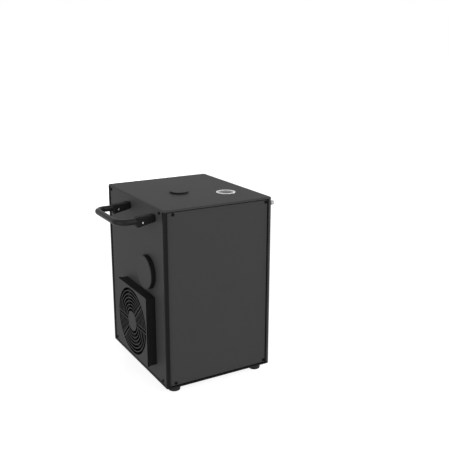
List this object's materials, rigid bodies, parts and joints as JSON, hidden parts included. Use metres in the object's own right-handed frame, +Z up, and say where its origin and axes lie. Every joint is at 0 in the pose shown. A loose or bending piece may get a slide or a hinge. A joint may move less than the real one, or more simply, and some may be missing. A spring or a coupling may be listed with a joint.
{
  "type": "cold spark machine",
  "caption": "Black stage effects box that blows heated granules from its top: side carrying handle, side fan grille, round side cover, top outlet cap and bright filler ring, rear sockets.",
  "frame": {"origin": "on the floor, under the middle of the bounding box", "axes": "+Z up; -Y towards the plain front panel; +Y towards the sockets and display; -X towards the handle and the fan; +X towards the vented side panel"},
  "size_m": [0.266, 0.242, 0.3143],
  "materials": {
    "coated_steel": "fine-texture powder coat, satin",
    "corner_gloss": "smooth black paint",
    "black_plastic": "moulded, fine grain",
    "switch_plastic": "polished",
    "bar_coating": "smooth satin coating on a metal bar",
    "foot_rubber": "matt",
    "chromed": "polished",
    "zinc_sheet": "bright zinc plate",
    "plain_aluminium": "satin",
    "tube_steel": "turned",
    "coil_copper": "bright copper tube",
    "ceramic": "unglazed ceramic",
    "circuit_board": "solder mask",
    "display_lens": "clear over a dark display",
    "gear_brass": "machined"
  },
  "bodies": {
    "housing": {"base_plate": "coated_steel", "top_cover": "coated_steel", "front_panel": "coated_steel", "back_panel": "coated_steel", "left_panel": "coated_steel", "right_panel": "coated_steel", "fan_cover": "coated_steel", "blower_cover": "coated_steel", "post_front_left": "corner_gloss", "post_front_right": "corner_gloss", "post_back_left": "corner_gloss", "post_back_right": "corner_gloss", "handle_socket_front": "black_plastic", "handle_socket_back": "black_plastic", "fan_frame": "black_plastic", "data_inlet": "black_plastic", "data_outlet": "black_plastic", "power_inlet": "black_plastic", "power_outlet": "black_plastic", "switch_bezel": "black_plastic", "fuse_holder": "black_plastic", "handle_bar": "bar_coating", "foot_front_left": "foot_rubber", "foot_front_right": "foot_rubber", "foot_back_left": "foot_rubber", "foot_back_right": "foot_rubber", "filler_ring": "chromed", "side_stud": "chromed", "blower_scroll": "zinc_sheet", "blower_lid": "zinc_sheet", "air_duct": "zinc_sheet", "hopper": "zinc_sheet", "hopper_funnel": "zinc_sheet", "inner_deck": "zinc_sheet", "feed_bracket": "zinc_sheet", "power_supply": "plain_aluminium", "driver_heatsink": "plain_aluminium", "heating_barrel": "tube_steel", "outlet_nozzle": "tube_steel", "feed_tube": "tube_steel", "feed_motor": "tube_steel", "blower_motor": "tube_steel", "heating_coil": "coil_copper", "ceramic_sleeve": "ceramic", "driver_board": "circuit_board", "control_board": "circuit_board", "display_window": "display_lens"},
    "fan": {"fan_rotor": "black_plastic"},
    "blower": {"blower_impeller": "black_plastic"},
    "screw": {"feed_screw": "tube_steel", "screw_gear": "gear_brass"},
    "motor_shaft": {"motor_gear": "gear_brass"},
    "outlet_cover": {"outlet_cap": "coated_steel"},
    "filler_cover": {"filler_cap": "coated_steel"},
    "menu_key": {"button_menu": "black_plastic"},
    "down_key": {"button_down": "black_plastic"},
    "up_key": {"button_up": "black_plastic"},
    "enter_key": {"button_enter": "black_plastic"},
    "rocker": {"power_switch": "switch_plastic"},
    "fuse_knob": {"fuse_cap": "black_plastic"}
  },
  "joints": [
    {"name": "fan_spin", "type": "hinge", "parent": "housing", "child": "fan", "pos_m": [-0.053, -0.019, 0.098], "axis": [1, 0, 0], "continuous": true},
    {"name": "blower_spin", "type": "hinge", "parent": "housing", "child": "blower", "pos_m": [-0.048, -0.056, 0.1955], "axis": [1, 0, 0], "continuous": true},
    {"name": "screw_spin", "type": "hinge", "parent": "housing", "child": "screw", "pos_m": [0.06, -0.015, 0.216], "axis": [1, 0, 0], "continuous": true},
    {"name": "motor_spin", "type": "hinge", "parent": "housing", "child": "motor_shaft", "pos_m": [0.09, 0.023, 0.216], "axis": [1, 0, 0], "continuous": true},
    {"name": "outlet_cap_lift", "type": "slide", "parent": "housing", "child": "outlet_cover", "axis": [0, 0, 1], "range_m": [0, 0.02]},
    {"name": "filler_cap_lift", "type": "slide", "parent": "housing", "child": "filler_cover", "axis": [0, 0, 1], "range_m": [0, 0.02]},
    {"name": "menu_press", "type": "slide", "parent": "housing", "child": "menu_key", "axis": [0, -1, 0], "range_m": [0, 0.0012], "stiffness_N_per_m": 400, "springref_m": -0.0005},
    {"name": "down_press", "type": "slide", "parent": "housing", "child": "down_key", "axis": [0, -1, 0], "range_m": [0, 0.0012], "stiffness_N_per_m": 400, "springref_m": -0.0005},
    {"name": "up_press", "type": "slide", "parent": "housing", "child": "up_key", "axis": [0, -1, 0], "range_m": [0, 0.0012], "stiffness_N_per_m": 400, "springref_m": -0.0005},
    {"name": "enter_press", "type": "slide", "parent": "housing", "child": "enter_key", "axis": [0, -1, 0], "range_m": [0, 0.0012], "stiffness_N_per_m": 400, "springref_m": -0.0005},
    {"name": "rocker_tilt", "type": "hinge", "parent": "housing", "child": "rocker", "pos_m": [0.058, 0.113, 0.071], "axis": [1, 0, 0], "range_deg": [-16, 0]},
    {"name": "fuse_turn", "type": "hinge", "parent": "housing", "child": "fuse_knob", "pos_m": [0.002, 0.113, 0.071], "axis": [0, 1, 0], "range_deg": [-70, 0]}
  ],
  "couplings": [
    {"joint": "motor_spin", "follows": "screw_spin", "ratio": -1.5}
  ]
}
